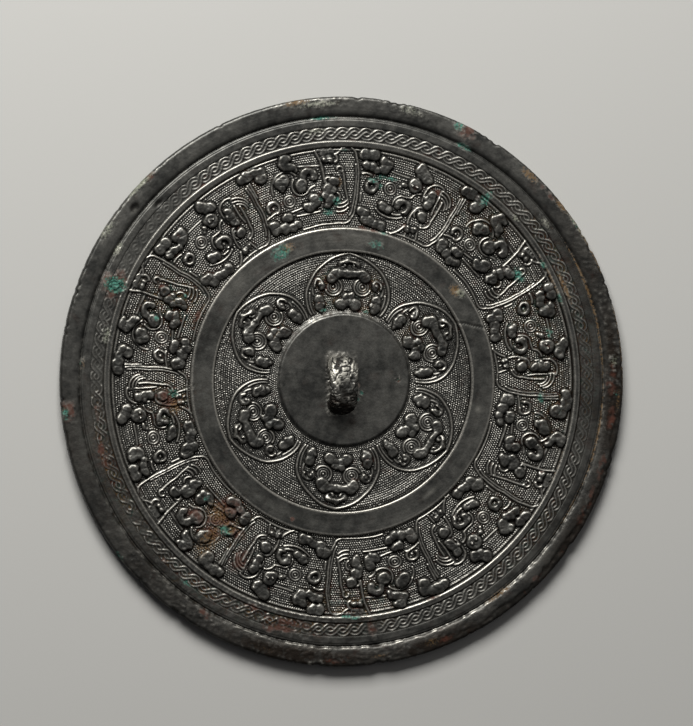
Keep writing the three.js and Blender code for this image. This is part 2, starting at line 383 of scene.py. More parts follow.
def stamp(field, steadyX, steadyY, strokes):
    # broad strokes run together into masses, pearls stand on them, threads are low round ridges
    for stroke in strokes:
        knocked = max(stroke["widths"]) > 0.6
        x = steadyX + knocked * field["knockX"]
        y = steadyY + knocked * field["knockY"]
        mx, my = stroke["middle"]
        near = np.nonzero(np.hypot(x - mx, y - my) < stroke["reach"] + 1)[0]
        if near.size == 0:
            continue
        d, t = stroke["nearest"](x[near], y[near])
        w0, w1 = stroke["widths"]
        width = w0 + (w1 - w0) * t
        bold = np.clip((width - ridgeLine["widest"]) / ridgeLine["fade"], 0, 1)
        swollen = boss["swollen"] * np.clip((width - 0.9) / 0.4, 0, 1)
        width = width + ridgeLine["spread"] * (1 - bold) + swollen
        share = d / width
        ridge = stroke["height"] * ridgeLine["tall"] * np.clip(1 - share ** 2, 0, 1) * (1 - bold)
        field["distance"][near] = np.minimum(field["distance"][near], d - width)
        inward = width - d
        if stroke["height"] > boss["pearlFrom"]:
            ridge = bossProfile(stroke["height"], inward)
        field["height"][near] = np.maximum(field["height"][near], ridge)
        if max(w0, w1) <= ridgeLine["widest"] or stroke["height"] > boss["cheekFrom"]:
            continue
        tall = min(stroke["height"], boss["tallest"]) * (width / max(w0, w1)) ** 0.4 * bold
        tall = tall * (1 + 0.05 * math.sin(mx * 7 + my * 5))    # no two quite alike
        before = field["inward"][near]
        lead = np.clip((inward - before) / boss["fuse"] / 2 + 0.5, 0, 1)
        field["tall"][near] = field["tall"][near] * (1 - lead) + tall * lead
        field["inward"][near] = -smoothLower(-inward, -before, boss["fuse"])
        share = np.where(bold > 0.5, share, 9)
        first, second = field["first"][near], field["second"][near]
        field["second"][near] = np.minimum(second, np.maximum(first, share))
        field["first"][near] = np.minimum(first, share)


def massed(field, x, y):
    # the whole height: masses with a shallow cleft here and there where two lobes meet
    gap = field["second"] - field["first"]
    cleft = np.clip(1 - gap / boss["creaseWidth"], 0, 1) * np.clip((1.0 - field["second"]) * 5, 0, 1)
    cleft = cleft * np.clip(0.75 + clouds(x, y, 3, 67), 0, 1)
    scored = np.clip(1 - np.abs(clouds(x, y, 2.1, 70)) / 0.09, 0, 1)
    scored = scored * np.clip(0.5 + clouds(x, y, 5, 47), 0, 1)
    mass = bossProfile(field["tall"], field["inward"]) - boss["crease"] * np.maximum(cleft, scored)
    return np.clip(np.maximum(field["height"], mass), 0, None)


def ringPlaces(radius, clockwise, turn=0):
    # x clockwise and y outwards, in the frame of a motif that stands at that turn
    angle = np.radians(clockwise - turn)
    return radius * np.sin(angle), radius * np.cos(angle)


def awayFrom(turn, clockwise):
    # degrees between two turns, whichever way round is shorter
    return np.abs((clockwise - turn + 180) % 360 - 180)


def stampRound(radius, clockwise, makeStrokes, firstTurn, halfWindow):
    # the motif stamped at every turn; a slow wander makes each one differ, a quick one keeps its edges
    # hand-cut
    far = 9.0
    atStart = {"height": 0, "tall": 0, "distance": far, "inward": -far, "first": far, "second": far}
    field = {key: np.full(radius.shape, float(value)) for key, value in atStart.items()}
    strokes = makeStrokes()
    worldX, worldY = ringPlaces(radius, clockwise)
    slideX = 0.45 * clouds(worldX, worldY, 11, 61) + 0.1 * clouds(worldX, worldY, 3.5, 68)
    slideY = 0.45 * clouds(worldX, worldY, 11, 64) + 0.1 * clouds(worldX, worldY, 3.5, 69)
    field["knockX"] = 0.36 * clouds(worldX, worldY, 2.6, 62) + 0.16 * clouds(worldX, worldY, 1.2, 63)
    field["knockY"] = 0.36 * clouds(worldX, worldY, 2.6, 65) + 0.16 * clouds(worldX, worldY, 1.2, 66)
    for k in range(360 // turnPerRepeat):
        turn = firstTurn + turnPerRepeat * k
        window = np.nonzero(awayFrom(turn, clockwise) < halfWindow)[0]
        if window.size == 0:
            continue
        x, y = ringPlaces(radius[window], clockwise[window], turn)
        part = {key: values[window] for key, values in field.items()}
        stamp(part, x + slideX[window], y + slideY[window], strokes)
        for key, values in part.items():
            field[key][window] = values
    return massed(field, worldX, worldY), field["distance"]


def lumpy(radius, clockwise, height):
    # the bosses are worn and knocked: swells and small dents, stronger the higher the metal stands
    x, y = ringPlaces(radius, clockwise)
    swell = 0.13 * clouds(x, y, 2.4, 71) + 0.1 * clouds(x, y, 1.1, 72) + 0.05 * clouds(x, y, 0.55, 73)
    return height + np.clip((height - 0.45) / 0.6, 0, 1) * swell


grains = {"rows": 0.7, "pitch": 0.74, "size": 0.42, "height": 0.46}


def grainField(radius, clockwise, fine=1):
    # rows of small grains that follow the rings; six at a time keep step, every other one shifted by half
    rows, pitch = grains["rows"] * fine, grains["pitch"] * fine
    best = np.zeros(radius.shape)
    for step in (-1, 0, 1):
        j = np.round(radius / rows) + step
        count = np.round(2 * np.pi * (np.floor(j / 6) * 6 + 3) * rows / pitch)
        u = clockwise / 360 * count
        lean = (j % 2) / 2
        i = np.round(u - lean)
        chance = np.sin(i * 12.9898 + j * 78.233) * 43758.5453    # a steady chance for each grain
        chance = chance - np.floor(chance)
        across = (u - lean - i + 0.1 * (chance - 0.5)) * 2 * np.pi * radius / count
        along = radius - (j + 0.12 * (chance - 0.5)) * rows
        reach = np.clip(np.hypot(across, along) / grains["size"] / fine, 0, 1)
        tall = grains["height"] * fine * (0.75 + 0.5 * chance)
        best = np.maximum(best, tall * (0.5 + 0.5 * np.cos(np.pi * reach)))
    return best


def clearOf(distance):
    # 0 beside a stroke, 1 from a little way off
    return np.clip((distance - 0.1) / 0.2, 0, 1)


def clouds(x, y, size, seed):
    # soft random swells about that many millimetres across, from -1 to 1
    table = np.random.default_rng(seed).uniform(-1, 1, (128, 128))
    u, v = x / size + 500, y / size + 500
    i, j = np.floor(u).astype(int), np.floor(v).astype(int)
    fu, fv = u - i, v - j
    fu, fv = fu * fu * (3 - 2 * fu), fv * fv * (3 - 2 * fv)
    near = table[i % 128, j % 128] * (1 - fv) + table[i % 128, (j + 1) % 128] * fv
    far = table[(i + 1) % 128, j % 128] * (1 - fv) + table[(i + 1) % 128, (j + 1) % 128] * fv
    return near * (1 - fu) + far * fu


# Wear, dirt and corrosion, mark by mark: place in mm, length along the ring, length across it, how strong

marks = {
    "malachite": [(-71.4, -54.3, 2.5, 1.0, 0.7), (-50, -63, 2, 0.8, 0.7), (-6.1, 22.6, 1.4, 0.6, 0.9),
                  (7.4, 22.1, 1.2, 0.6, 0.8), (9.6, 63.6, 1.8, 1.0, 0.8), (12, 61.6, 0.9, 1.2, 0.7),
                  (16, 63.9, 1.8, 0.8, 0.7), (12.8, 46.9, 1.5, 0.5, 1.0), (-4.6, 53.6, 2.2, 1.4, 0.8),
                  (-7.1, 57.8, 0.9, 0.8, 0.8), (-7, 83.2, 4.5, 0.7, 0.9), (0.5, 73, 1.2, 0.4, 0.9),
                  (74.5, 49.5, 2, 0.7, 0.6), (-72.4, 30.9, 2.2, 2.9, 1.5), (-88.4, -9.6, 2.0, 1.2, 1.0),
                  (37.2, 80.6, 1.6, 1.4, 1.0), (38.5, 74.2, 2.6, 0.9, 1.0), (45.5, 57.5, 1.6, 2.6, 1.0),
                  (12.6, 64.4, 2.2, 0.9, 0.8), (-1.9, 56.9, 1.3, 1.6, 0.9), (-19.9, 40.7, 3.0, 2.6, 0.9),
                  (10.6, 43.3, 3.0, 1.6, 0.65), (-37.5, -47, 2.6, 1.8, 0.8),
                  (-43.6, -36.5, 1.4, 1.2, 0.7), (-54.0, -3.4, 1.4, 1.8, 0.8),
                  (-50.3, 27.1, 0.9, 0.9, 1.0), (-59.3, 20.2, 0.9, 0.9, 0.9), (1, -74.1, 1.6, 0.6, 1.0),
                  (3.6, -74.5, 2.2, 0.6, 0.9), (5.8, -3.6, 0.7, 0.7, 1.0), (4.8, -5.5, 0.6, 0.6, 1.0),
                  (17.8, 0.6, 0.5, 0.4, 1.1), (87.3, -3.8, 1.4, 0.9, 0.6), (88.2, 24, 1.5, 0.6, 0.6),
                  (56.4, 33.4, 2.6, 2.0, 0.8), (64.3, 36.7, 1.8, 0.8, 0.8), (69.5, 26, 2.0, 0.9, 0.8),
                  (-83.5, 6.5, 1.5, 0.6, 0.5), (66.2, 15.2, 1.8, 1.4, 0.7), (63.5, -5.8, 2.0, 1.2, 0.8)],
    "cuprite": [(-76.6, -22, 7, 1.3, 0.9), (-78, -8, 4, 1.2, 0.7), (-16, -76, 6, 1.3, 0.9),
                (-29, -71, 3, 1.2, 0.8), (-57, -56, 1.5, 1.0, 0.8), (5.2, 22.3, 1.1, 0.5, 1.0),
                (5.6, 48.4, 2.0, 0.9, 1.0), (10, 47.6, 1.6, 0.5, 0.9), (29.5, -68, 2.4, 0.6, 0.9),
                (83, -27, 5, 1.4, 0.68), (77.5, -41, 5, 1.4, 0.66), (33, -81, 4, 1.5, 0.6),
                (62, -62, 3.5, 1.0, 0.55), (79, -36, 4, 1.2, 0.5), (-3, -88, 4, 1.2, 0.7),
                (-44, -73, 3, 1.4, 0.7), (-20, -77.5, 6, 1.2, 0.8), (-9, -80, 4, 1, 0.6),
                (-72.8, 31.2, 4.2, 3.6, 1.1), (-87.5, -9.0, 3.5, 2.5, 0.9), (39.7, 78.8, 3.2, 2.4, 1.0),
                (66, 59, 5.0, 1.0, 0.7), (-39, -43, 5.0, 8, 0.9), (-33, -56, 3, 4, 0.8),
                (-47, -41, 3, 2.5, 0.7), (-33.6, -47.5, 3.0, 2.0, 0.9), (-55.6, -5.2, 2.8, 3.4, 1.2),
                (-57.7, 30, 1.1, 1.1, 1.0), (-46.5, 20.5, 2.6, 1.0, 1.0), (-23.7, -76.4, 2.0, 2.6, 1.0),
                (9.3, -77.5, 1.4, 3.0, 0.8), (30.4, 59.7, 1.0, 0.9, 1.0), (-16.3, -43.1, 0.8, 0.8, 1.0),
                (-61.5, 64.5, 1.8, 1.2, 0.9), (5, -1, 0.8, 0.6, 1.0), (17.4, 0.8, 1.0, 0.8, 1.0),
                (86.3, 0.5, 6, 2.2, 0.64), (85.9, -12.5, 5.0, 1.6, 0.6)],
    "ochre": [(-25, -84, 10, 1.6, 0.3), (-40, -41, 5, 3.5, 0.7), (-36, -46, 2.5, 3.5, 0.7),
              (-83, 6, 2.5, 1.2, 0.5), (-1, 62.6, 0.8, 2.0, 0.8), (-15, 87.9, 4, 0.9, 0.9),
              (50, -67, 5, 0.9, 0.9), (78.5, 28.5, 17, 0.5, 0.9), (82.6, 11, 12, 0.4, 0.8),
              (66.5, 33, 9, 0.5, 0.8), (69, -27, 9, 0.4, 0.5), (89.2, 10, 20, 0.4, 0.8),
              (77.5, 45, 14, 0.5, 0.9), (81.5, -18, 20, 0.5, 0.8), (73, -40, 14, 0.5, 0.6),
              (12, -86.5, 4, 1.0, 0.5), (-17.6, 42.2, 2.4, 1.6, 0.8), (35.9, 28.7, 2.0, 1.6, 1.0),
              (59.6, 65.1, 3.2, 1.2, 1.0), (69.9, 55.6, 3.0, 1.1, 1.0), (-43, -50, 3, 6, 0.8),
              (-53, -7.5, 2.5, 2.5, 0.8), (28.5, -82.1, 3.0, 1.6, 0.55), (88.2, -6, 5, 0.8, 0.5),
              (84.2, 33, 5, 0.7, 0.8), (71, 30, 6.0, 0.9, 0.8)],
    "crust": [(-8.7, 79, 4, 1.6, 0.5), (-71.5, 42, 2.6, 1.0, 0.8), (75, 49.3, 7, 0.9, 0.7),
              (37.6, 27.8, 1.6, 1.3, 0.8), (-49.5, -1, 3, 3, 0.35), (-75.3, 15.1, 3.0, 1.8, 0.6),
              (-64.6, 62.2, 5.0, 0.9, 1.0), (-8, 87.6, 8.0, 1.3, 0.6), (21.5, 85.3, 5.0, 1.8, 0.5),
              (-75, 48, 3.5, 1.5, 0.7), (86.8, 6.3, 2.4, 1.8, 0.5), (86.8, 30, 6, 0.8, 0.6),
              (65, 50, 4, 1.4, 0.45), (55.2, 51.5, 1.6, 0.8, 0.8)],
    "pit": [(-66.3, 55, 1.3, 1.0, 1.0), (17.6, 0.7, 0.6, 0.55, 0.5), (-58.6, 56.2, 1.2, 0.9, 0.9)],
    "umberAndShade": [(30.4, -82.7, 18, 3.6, 1.4), (-14.4, -86.6, 26, 3.6, 1.5), (-62, -60, 34, 6, 0.6),
              (76, -45, 26, 4, 1.0), (87, -2, 26, 3, 1.5), (80, 34, 20, 4, 0.7), (-86, -20, 18, 5, 0.6),
              (-74, -27, 22, 4, 0.7), (-30, -75, 12, 3, 0.4), (4, -77, 8, 3, 0.5),
              (-3.7, 13.5, 2, 1.2, 0.5)],
    "bareAndHighlight": [(28, -35, 2.6, 0.5, 0.5), (43.3, -8.8, 0.9, 0.8, 0.5), (-32, 33, 7, 1.6, 0.25),
             (2, 45.5, 12, 2, 0.25), (-20, -40, 9, 1.5, 0.15)],
    "seep": [(-74, -30, 22, 4, 1.0), (-20, -75.5, 20, 3, 1.0), (70, 38, 16, 3, 1.0), (79, 8, 22, 3, 1.0),
             (60, -50, 18, 3, 0.6), (-6, 32.5, 3, 3, 0.9), (-4.6, 29, 2.5, 3, 0.8), (10, 30.5, 3, 3, 0.8),
             (7.6, 27.5, 2.5, 3, 0.8), (-4.5, 24.4, 3.5, 2.2, 1.0), (6.4, 23, 3.5, 2.2, 1.0),
             (22, 15, 4, 5, 0.7), (-20, 17, 4, 5, 0.5), (-52, 24, 9, 9, 1.0), (-54, -6, 8, 8, 0.8),
             (-38, -44, 9, 8, 1.0), (61, 18, 14, 9, 0.8), (66, -4, 14, 7, 0.8), (45, 52, 12, 8, 0.6),
             (4, -70, 12, 7, 0.9), (-28, 57, 6, 8, 0.5), (52, -40, 9, 9, 0.4), (-45, -66, 16, 3, 1.0)],
}
markFall = 0.8    # how fast a mark thins out from its middle


def marksAt(x, y):
    # how much of each kind of mark lies at each place
    turn = np.arctan2(x, y)
    radius = np.hypot(x, y)
    found = {}
    for kind, spots in marks.items():
        amount = np.zeros(x.shape)
        for mx, my, alongLength, acrossLength, strength in spots:
            markRadius = math.hypot(mx, my)
            along = (turn - math.atan2(mx, my) + np.pi) % (2 * np.pi) - np.pi
            across = radius - markRadius
            near = (along * markRadius / alongLength) ** 2 + (across / acrossLength) ** 2
            amount = np.maximum(amount, strength * np.exp(-near * markFall))
        found[kind] = amount
    return found


crustHeights = {"malachite": 0.22, "cuprite": 0.2, "ochre": 0.14, "crust": 0.36}
pitDepth = 0.55


def weathered(x, y):
    # height added by corrosion: crusts stand up in crumbs, pits sink
    found = marksAt(x, y)
    crumbs = 0.7 * clouds(x, y, 0.9, 21) + 0.6 * clouds(x, y, 0.45, 22)
    thick = sum(found[kind] * height for kind, height in crustHeights.items())
    return thick * (0.35 + crumbs) - pitDepth * found["pit"]


def paintMarks(mesh, x, y, wearAndShade, own=None):
    # what the bronze's shader reads at each point: worn ridges, hollows dark with dirt and painted shade,
    # and each kind of corrosion
    found = marksAt(x, y)
    found.update(own or {})
    layers = {"crusts": ("malachite", "cuprite", "ochre", "crust"),
              "stainsShadeAndHighlight": ("umberAndShade", "pit", "bareAndHighlight", "seep")}
    # above 0 a ridge that is rubbed lighter, below 0 a hollow darkened with dirt and painted shade
    worn = np.clip(wearAndShade, -1, 1).astype(np.float32)
    mesh.attributes.new("wearAndShade", "FLOAT", "POINT").data.foreach_set("value", worn)
    for name, kinds in layers.items():
        values = np.stack([found[kind] for kind in kinds], axis=1).astype(np.float32)
        mesh.attributes.new(name, "FLOAT_COLOR", "POINT").data.foreach_set("color", values.ravel())


def blurred(grid, reach, whole):
    # mean over a square of that many crossings each way; a whole ring runs on round its seam
    for axis in (0, 1):
        joined = whole and axis == 1
        body = grid[:, :-1] if joined else grid
        pad = [(0, 0), (0, 0)]
        pad[axis] = (reach + 1, reach)
        total = np.cumsum(np.pad(body, pad, mode="wrap" if joined else "edge"), axis=axis)
        length = body.shape[axis]
        high = np.take(total, np.arange(2 * reach + 1, 2 * reach + 1 + length), axis=axis)
        low = np.take(total, np.arange(length), axis=axis)
        body = (high - low) / (2 * reach + 1)
        grid = np.concatenate([body, body[:, :1]], axis=1) if joined else body
    return grid


# Steps that every mesh goes through

def flatGrid(name, columns, rows):
    # a new flat grid that runs from -1 to 1 each way, and where its points lie
    deselectAll()
    bpy.ops.mesh.primitive_grid_add(x_subdivisions=columns, y_subdivisions=rows, size=2)
    piece = bpy.context.object
    piece.name = name
    places = np.empty(len(piece.data.vertices) * 3)
    piece.data.vertices.foreach_get("co", places)
    return piece, places.reshape(-1, 3)


def movePoints(piece, x, y, z):
    piece.data.vertices.foreach_set("co", (np.stack([x, y, z], axis=1) * mm).ravel())
    piece.data.update()


def startEditing(piece):
    deselectAll()
    piece.select_set(True)
    bpy.context.view_layer.objects.active = piece
    bpy.ops.object.mode_set(mode="EDIT")
    bpy.ops.mesh.select_mode(type="VERT")
    bpy.ops.mesh.select_all(action="SELECT")


def selectOpenEdges():
    bpy.ops.mesh.select_all(action="DESELECT")
    bpy.ops.mesh.select_non_manifold()


def endEditing(sharpFrom):
    # faces turned outwards, then shaded smooth except at edges of that many degrees and more
    bpy.ops.mesh.select_all(action="SELECT")
    bpy.ops.mesh.normals_make_consistent(inside=False)
    bpy.ops.mesh.select_all(action="DESELECT")
    bpy.ops.object.mode_set(mode="OBJECT")
    bpy.ops.object.shade_smooth_by_angle(angle=math.radians(sharpFrom))


wearAndShadeReach = 3        # crossings each way that a place is compared with
wearAndShadeDepth = 0.16     # mm above them at which a place is fully rubbed; hollows under them get dirt and painted shade
bossFrom = 0.8       # mm over the ground: what stands higher is broad and less rubbed


def reliefRing(name, settings, heightOf):
    # a fine grid bent into a ring or a part of one, given its heights, then walled and closed underneath
    rows, columns = settings["rows"], settings["columns"]
    piece, places = flatGrid(name, columns, rows)
    start, end = settings.get("sector", (0, 360))
    whole = end - start == 360
    clockwise = start + (end - start) * (places[:, 0] + 1) / 2
    radius = settings["inner"] + (settings["outer"] - settings["inner"]) * (1 - places[:, 1]) / 2
    height = heightOf(radius, clockwise, settings)
    grid = height.reshape(rows + 1, columns + 1)
    # how far each place stands over its surroundings: ridges are rubbed lighter, hollows get dirt and
    # painted shade
    wearAndShade = (grid - blurred(grid, wearAndShadeReach, whole)).ravel() / wearAndShadeDepth
    onBoss = (wearAndShade > 0) & (height > levels["ground"] + bossFrom)
    wearAndShade = np.where(onBoss, wearAndShade * settings.get("rubbed", 1), wearAndShade)
    x, y = ringPlaces(radius, clockwise)
    paintMarks(piece.data, x, y, wearAndShade)
    movePoints(piece, x, y, height)
    closeBelow(piece, whole)
    return piece


def closeBelow(piece, whole):
    # walls down from the open edges to the level of the core, and a floor between them
    startEditing(piece)
    if whole:
        bpy.ops.mesh.remove_doubles(threshold=0.02 * mm)
    selectOpenEdges()
    bpy.ops.mesh.extrude_region_move(TRANSFORM_OT_translate={"value": (0, 0, -0.5 * mm)})
    bpy.ops.transform.resize(value=(1, 1, 0), center_override=(0, 0, levels["core"] * mm))
    if whole:
        bpy.ops.mesh.bridge_edge_loops()
    else:
        bpy.ops.mesh.edge_face_add()
    endEditing(sharpFrom=62)


def profilePoints(settings):
    # the profile's stations with points at even spacing between them, few on the long flat stretches
    stations = settings["profile"]
    points = []
    for (r0, z0), (r1, z1) in zip(stations, stations[1:]):
        length = math.hypot(r1 - r0, z1 - z0)
        parts = settings["longParts"] if length > 8 else max(1, round(length / settings["spacing"]))
        points += [(r0 + (r1 - r0) * k / parts, z0 + (z1 - z0) * k / parts) for k in range(parts)]
    return np.array(points + [stations[-1]])


def turnedPiece(name, settings, detail):
    # a closed turned shape: one grid row for each place on the profile, wrapped round, then worn by detail
    profile = profilePoints(settings)
    piece, places = flatGrid(name, settings["columns"], len(profile) - 1)
    row = np.round((places[:, 1] + 1) / 2 * (len(profile) - 1)).astype(int)
    clockwise = 180 * (places[:, 0] + 1)
    radius, height = detail(profile[row, 0], profile[row, 1], clockwise)
    x, y = ringPlaces(radius, clockwise)
    middleX, middleY = settings["middle"]
    x, y = middleX + x, middleY + y
    own = {}
    if "polished" in settings:
        own["bareAndHighlight"] = settings["polished"] * (profile[row, 1] < 0.3)    # the underside is the polished face
    # what stands over the profile is rubbed lighter; what sinks under it gets dirt and painted shade
    paintMarks(piece.data, x, y, (height - profile[row, 1]) / settings["wearAndShadeDepth"], own)
    movePoints(piece, x, y, height)
    startEditing(piece)
    bpy.ops.mesh.remove_doubles(threshold=0.01 * mm)
    endEditing(sharpFrom=50)
    return piece


def stepped(radius, stations):
    # height of a turned profile that runs straight between (radius, height) stations
    r, z = zip(*stations)
    return np.interp(radius, r, z)


# The wide band of dragons, made in parts so that no mesh is too heavy

panelOneTurn = -10.95
panelTwoTurn = panelOneTurn + turnPerRepeat / 2
dragonBand = {"inner": 48.62, "outer": 73.85, "rows": 118, "columns": 580, "parts": 3, "from": -26.6,
              "rubbed": 0.3, "grainsTo": 72.9, "borderAt": 73.2, "borderWidth": 0.4, "borderHeight": 0.42}


def dragonBandHeight(radius, clockwise, settings):
    first, firstDistance = stampRound(radius, clockwise, panelOne, panelOneTurn, 24)
    second, secondDistance = stampRound(radius, clockwise, panelTwo, panelTwoTurn, 24)
    distance = np.minimum(firstDistance, secondDistance)
    rough = grainField(radius, clockwise) * clearOf(distance) * (radius < settings["grainsTo"])
    beside = (radius - settings["borderAt"]) / settings["borderWidth"]    # a fine line near the braid
    border = settings["borderHeight"] * np.clip(1 - beside ** 2, 0, 1)
    height = lumpy(radius, clockwise, np.maximum(first, second))
    x, y = ringPlaces(radius, clockwise)
    return levels["ground"] + np.maximum(np.maximum(height, rough), border) + weathered(x, y)


def makeDragonBand():
    width = 360 / dragonBand["parts"]
    for k in range(dragonBand["parts"]):
        start = dragonBand["from"] + width * k
        part = dict(dragonBand, sector=(start, start + width))
        yield reliefRing("dragonBand" + str(k + 1), part, dragonBandHeight)


pieces = list(makeDragonBand())
print("dragon band made")


# The field of six leaves

leafField = {"inner": 20.8, "outer": 41.05, "rows": 90, "columns": 920, "rubbed": 0.3, "leafTurn": 3.6,
             "foot": 41.0, "grainsInLeaf": 0.86, "widest": 13.2, "widestAt": 27.8, "halfLength": 12.4,
             "tip": 40.2}


def leafInside(radius, clockwise):
    # 1 within a leaf's edge, where the grains are finer
    away = (clockwise - leafField["leafTurn"] + turnPerRepeat / 2) % turnPerRepeat - turnPerRepeat / 2
    x, y = ringPlaces(radius, away)
    along = (y - leafField["widestAt"]) / leafField["halfLength"]
    reach = leafField["widest"] * np.sqrt(np.clip(1 - along ** 2, 0, 1))
    pointed = np.where(y > 36, (leafField["tip"] - y) * 2.1, reach)
    return np.clip((pointed - np.abs(x)) * 3, 0, 1)


def leafFieldHeight(radius, clockwise, settings):
    height, distance = stampRound(radius, clockwise, leaf, settings["leafTurn"], 42)
    height = lumpy(radius, clockwise, height)
    inside = leafInside(radius, clockwise)
    finer = grainField(radius, clockwise, settings["grainsInLeaf"])
    rough = (grainField(radius, clockwise) * (1 - inside) + finer * inside) * clearOf(distance)
    foot = np.clip((settings["foot"] - radius) / 0.25, 0, 1)
    fall = 0.3 * np.clip((radius - 39.6) / 1.2, 0, 1)    # the ground sinks a little towards the plain ring
    x, y = ringPlaces(radius, clockwise)
    return levels["ground"] - fall + np.maximum(height, rough) * foot + weathered(x, y)


pieces.append(reliefRing("leafField", leafField, leafFieldHeight))
print("leaf field made")


# The braid between two plain bands

braidRing = {"inner": 73.7, "outer": 80.5, "rows": 36, "columns": 1900,
             "profile": [(73.6, levels["ground"] - 0.1), (73.9, 2.75), (74.2, 3.2), (74.45, 3.38),
                         (74.8, 3.42), (75.75, 3.42), (76.0, 3.32), (76.25, levels["braid"]),
                         (80.6, levels["braid"])]}
braid = {"inner": 76.4, "outer": 80.2, "crossings": 126, "swing": 1.24, "spread": 0.56, "width": 0.36,
         "body": 0.1, "ridge": 0.18}
# where it is worn or badly cast: middle of the stretch, half its length, the fade at its ends, what is left
wornStretches = [(304, 9, 14, 0.3), (280, 8, 4, 0.65), (92, 10, 8, 0.35), (173, 1, 1.5, 0)]
# where it is eaten away in spots: middle of the stretch, half its length, how deep
eatenStretches = [(72, 14, 0.4), (196, 14, 0.7), (236, 10, 0.8), (262, 18, 0.7)]


def braidWear(x, y, clockwise):
    left = np.ones(clockwise.shape)
    for middle, halfLength, fade, share in wornStretches:
        left *= share + (1 - share) * np.clip((awayFrom(middle, clockwise) - halfLength) / fade, 0, 1)
    for middle, halfLength, share in eatenStretches:
        within = np.clip(1.3 - awayFrom(middle, clockwise) / halfLength, 0, 1)
        left *= 1 - share * (within * np.clip(clouds(x, y, 1.7, 35) * 3 + 0.6, 0, 1))
    return left


def braidHeight(radius, clockwise):
    # two strands twisted round each other; each shows as two parallel ridges that rise outwards, over the
    # last one
    middle = (braid["outer"] + braid["inner"]) / 2
    pitch = 2 * np.pi * middle / braid["crossings"]
    x, y = ringPlaces(radius, clockwise)
    u = clockwise / 360 * braid["crossings"] + 0.07 * clouds(x, y, 5, 32)
    v = radius - middle + 0.14 * clouds(x, y, 3.5, 33) + 0.07 * clouds(x, y, 1.1, 34)
    best = np.zeros(radius.shape)
    for step in (-1, 0, 1):
        w = u - (np.floor(u) + step)
        slope = braid["swing"] * np.pi / pitch * np.sin(np.pi * w)
        off = (v + braid["swing"] * np.cos(np.pi * w)) / np.sqrt(1 + slope ** 2)
        body = braid["body"] * np.clip(np.cos(np.pi * (w - 0.5) * 0.6), 0, 1)
        beside = np.abs(np.abs(off) - braid["spread"]) / braid["width"]
        ridge = braid["ridge"] * np.clip(1 - beside ** 2, 0, 1)
        edge = np.clip((braid["spread"] + braid["width"] - np.abs(off)) / 0.15, 0, 1)
        shown = (np.abs(w - 0.5) < 0.92) * edge
        best = np.maximum(best, (body + ridge) * shown)
    return best * braidWear(x, y, clockwise)


def coarse(x, y, clockwise):
    # the lower side lay in damp ground and its skin is coarse there
    zone = np.clip(1.3 - awayFrom(205, clockwise) / 50, 0, 1)
    return zone * (0.06 * clouds(x, y, 0.75, 39) + 0.05 * clouds(x, y, 1.7, 40))


def braidRingHeight(radius, clockwise, settings):
    base = stepped(radius, settings["profile"])
    inBraid = np.clip((radius - 76.2) * 4, 0, 1)
    x, y = ringPlaces(radius, clockwise)
    skin = weathered(x, y) + 0.025 * clouds(x, y, 2.5, 31) + coarse(x, y, clockwise)
    return base + inBraid * braidHeight(radius, clockwise) + skin


pieces.append(reliefRing("braidRing", braidRing, braidRingHeight))
print("braid made")


# The smooth ring between the leaves and the dragons

plainRing = {"inner": 40.85, "outer": 49.0, "rows": 30, "columns": 600,
             "profile": [(40.85, 2.3), (41.12, 3.3), (41.4, 3.42), (44.8, 3.37), (48.3, 3.42), (48.6, 3.32),
                         (48.95, 2.3)],
             "crackTurn": 63, "crackLean": 0.9, "crackDepth": 0.3, "crackHalf": 0.4}


def plainRingHeight(radius, clockwise, settings):
    x, y = ringPlaces(radius, clockwise)
    rubbed = 0.014 * clouds(radius, clockwise * 0.06, 0.42, 9) + 0.03 * clouds(x, y, 3.5, 8)
    crackAt = settings["crackTurn"] + (radius - 41) * settings["crackLean"]
    crackAt = crackAt + 0.5 * clouds(radius, radius * 0, 1.6, 10)
    fromCrack = np.radians(np.abs(clockwise - crackAt)) * radius
    crack = settings["crackDepth"] * np.clip(1 - fromCrack / settings["crackHalf"], 0, 1)
    onTop = (radius > 41.3) * (radius < 48.4)
    return stepped(radius, settings["profile"]) + rubbed - crack + weathered(x, y) * onTop


pieces.append(reliefRing("plainRing", plainRing, plainRingHeight))
print("plain ring made")


# The smooth middle disc

middleDisc = {"columns": 320, "spacing": 0.42, "longParts": 2, "middle": (0.4, 0.7), "wearAndShadeDepth": 0.12,
              "profile": [(0, levels["core"]), (22.4, levels["core"]), (22.4, 2.2), (22.1, 2.45),
                          (21.6, 2.6), (21.2, 2.72), (20.95, 2.9), (20.7, 3.2), (20.4, 3.42), (20.1, 3.44),
                          (13, 3.44), (6, 3.44), (0, 3.44)]}


def discDetail(radius, height, clockwise):
    # set a little off the middle; its foot is grainy, and casting crust gathers round the knob
    x, y = ringPlaces(radius, clockwise)
    middleX, middleY = middleDisc["middle"]
    onTop = height > 2
    grainy = 0.07 * clouds(x, y, 0.5, 41) + 0.035 * clouds(x, y, 1.4, 42)
    grainy = np.clip((radius - 20.3) * 3, 0, 1) * grainy
    besideKnob = np.hypot(np.maximum(np.abs(x + 0.8) - 4.0, 0), np.maximum(np.abs(y + 1.2) - 9, 0))
    fin = np.clip(1 - besideKnob / 1.5, 0, 1) * (0.14 + 0.16 * clouds(x, y, 0.6, 43))
    fin = fin * np.where(x < 1, 1, 0.4)
    rubbed = 0.005 * clouds(x * 0.12 + y * 0.02, y, 0.5, 45)    # from side to side
    swell = 0.012 * clouds(x, y, 4, 44) + rubbed
    return radius, height + onTop * (grainy + fin + swell + weathered(x + middleX, y + middleY))


pieces.append(turnedPiece("middleDisc", middleDisc, discDetail))
print("middle disc made")


# The body: rim, plain band with its two turned lines, side and polished face

